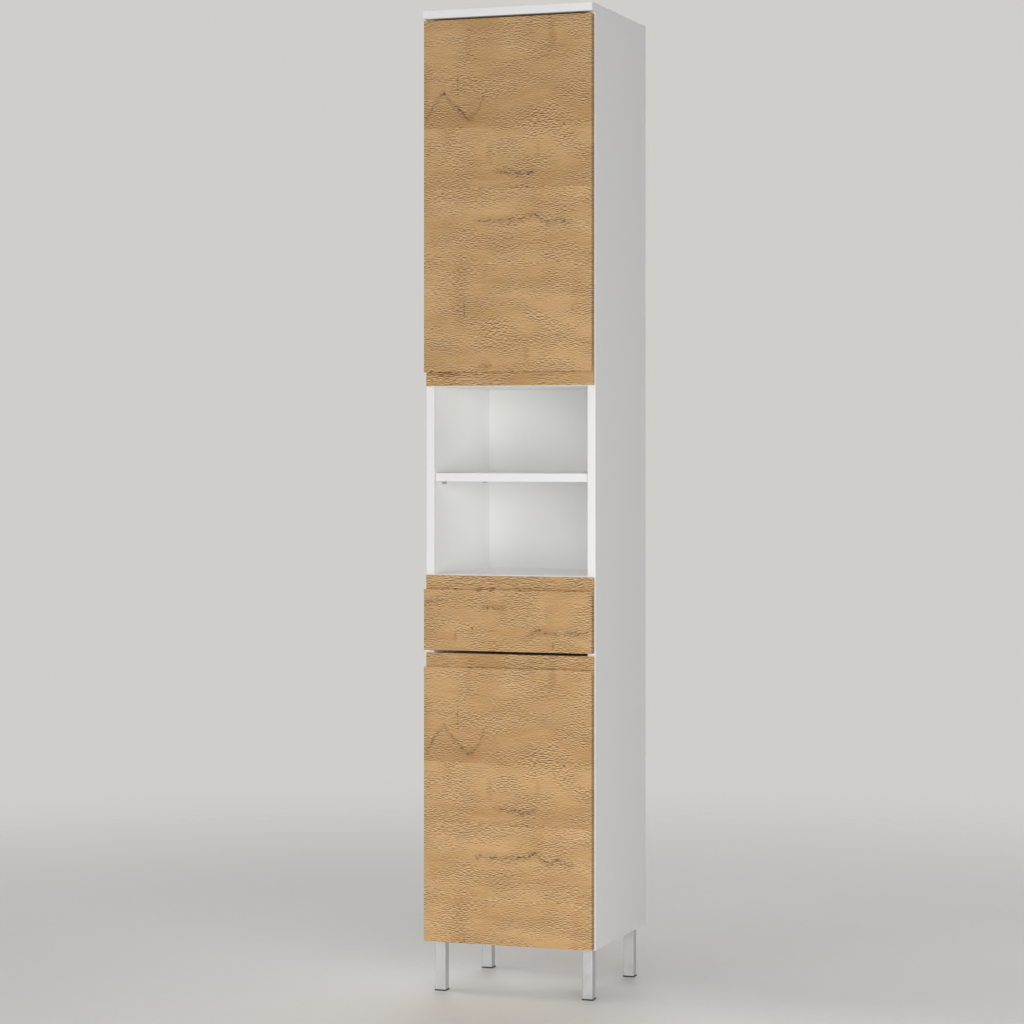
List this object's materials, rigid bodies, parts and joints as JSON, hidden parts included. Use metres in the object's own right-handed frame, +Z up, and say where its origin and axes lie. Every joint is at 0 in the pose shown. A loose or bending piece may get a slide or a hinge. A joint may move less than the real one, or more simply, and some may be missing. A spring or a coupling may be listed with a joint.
{
  "type": "tall bathroom cabinet",
  "caption": "Tall narrow bathroom cabinet with oak-faced doors, a drawer and an open compartment with a shelf, standing on square metal legs.",
  "frame": {"origin": "centre of the footprint, on the floor", "axes": "+X to the right seen from the front, +Y to the back, +Z up; the fronts face -Y"},
  "size_m": [0.34, 0.34, 1.873],
  "materials": {
    "white_melamine": "satin white melamine on chipboard",
    "white_back": "white lacquered hardboard",
    "oak_decor": "matt light oak decor, grain across",
    "steel": "zinc plated",
    "hinge_nickel": "nickel plated",
    "leg_metal": "light grey powder coat",
    "rail_white": "white powder coat",
    "black_plastic": "matt black polyethylene",
    "roller_nylon": "white nylon"
  },
  "bodies": {
    "carcass": {"side_left": "white_melamine", "side_right": "white_melamine", "top_panel": "white_melamine", "bottom_panel": "white_melamine", "drawer_divider": "white_melamine", "open_bottom_panel": "white_melamine", "open_top_panel": "white_melamine", "open_shelf": "white_melamine", "upper_shelf_low": "white_melamine", "upper_shelf_high": "white_melamine", "lower_shelf": "white_melamine", "back_panel": "white_back", "open_shelf_pins": "steel", "cupboard_shelf_pins": "steel", "wall_bracket": "steel", "leg_front_left": "leg_metal", "leg_front_right": "leg_metal", "leg_back_left": "leg_metal", "leg_back_right": "leg_metal", "leg_glides": "black_plastic", "upper_hinge_arms": "hinge_nickel", "upper_hinge_plates": "hinge_nickel", "lower_hinge_arms": "hinge_nickel", "lower_hinge_plates": "hinge_nickel", "cabinet_rail_left": "rail_white", "cabinet_rail_right": "rail_white"},
    "upper_door": {"upper_door": "oak_decor", "upper_hinge_cups": "hinge_nickel", "upper_hinge_pins": "steel"},
    "lower_door": {"lower_door": "oak_decor", "lower_hinge_cups": "hinge_nickel", "lower_hinge_pins": "steel"},
    "drawer": {"drawer_front": "oak_decor", "drawer_side_left": "white_melamine", "drawer_side_right": "white_melamine", "drawer_back": "white_melamine", "drawer_bottom": "white_back", "drawer_rail_left": "rail_white", "drawer_rail_right": "rail_white"},
    "front_roller_left": {"front_roller_left": "roller_nylon"},
    "front_roller_right": {"front_roller_right": "roller_nylon"},
    "rear_roller_left": {"rear_roller_left": "roller_nylon"},
    "rear_roller_right": {"rear_roller_right": "roller_nylon"}
  },
  "joints": [
    {"name": "upper_door_hinge", "type": "hinge", "parent": "carcass", "child": "upper_door", "pos_m": [-0.16167, -0.1622, 1.5055], "axis": [0, 0, -1], "range_deg": [0, 100]},
    {"name": "lower_door_hinge", "type": "hinge", "parent": "carcass", "child": "lower_door", "pos_m": [-0.16167, -0.1622, 0.3745], "axis": [0, 0, -1], "range_deg": [0, 100]},
    {"name": "drawer_slide", "type": "slide", "parent": "carcass", "child": "drawer", "axis": [0, -1, 0], "range_m": [0, 0.22]},
    {"name": "front_roller_left_turn", "type": "hinge", "parent": "carcass", "child": "front_roller_left", "pos_m": [-0.1487, -0.135, 0.6762], "axis": [1, 0, 0], "range_deg": [0, 1485]},
    {"name": "rear_roller_left_turn", "type": "hinge", "parent": "drawer", "child": "rear_roller_left", "pos_m": [-0.1468, 0.13085, 0.672], "axis": [1, 0, 0], "range_deg": [0, 1485]},
    {"name": "front_roller_right_turn", "type": "hinge", "parent": "carcass", "child": "front_roller_right", "pos_m": [0.1487, -0.135, 0.6762], "axis": [1, 0, 0], "range_deg": [0, 1485]},
    {"name": "rear_roller_right_turn", "type": "hinge", "parent": "drawer", "child": "rear_roller_right", "pos_m": [0.1468, 0.13085, 0.672], "axis": [1, 0, 0], "range_deg": [0, 1485]}
  ],
  "couplings": [
    {"joint": "front_roller_left_turn", "follows": "drawer_slide", "rad_per_m": 117.65},
    {"joint": "rear_roller_left_turn", "follows": "drawer_slide", "rad_per_m": 117.65},
    {"joint": "front_roller_right_turn", "follows": "drawer_slide", "rad_per_m": 117.65},
    {"joint": "rear_roller_right_turn", "follows": "drawer_slide", "rad_per_m": 117.65}
  ]
}
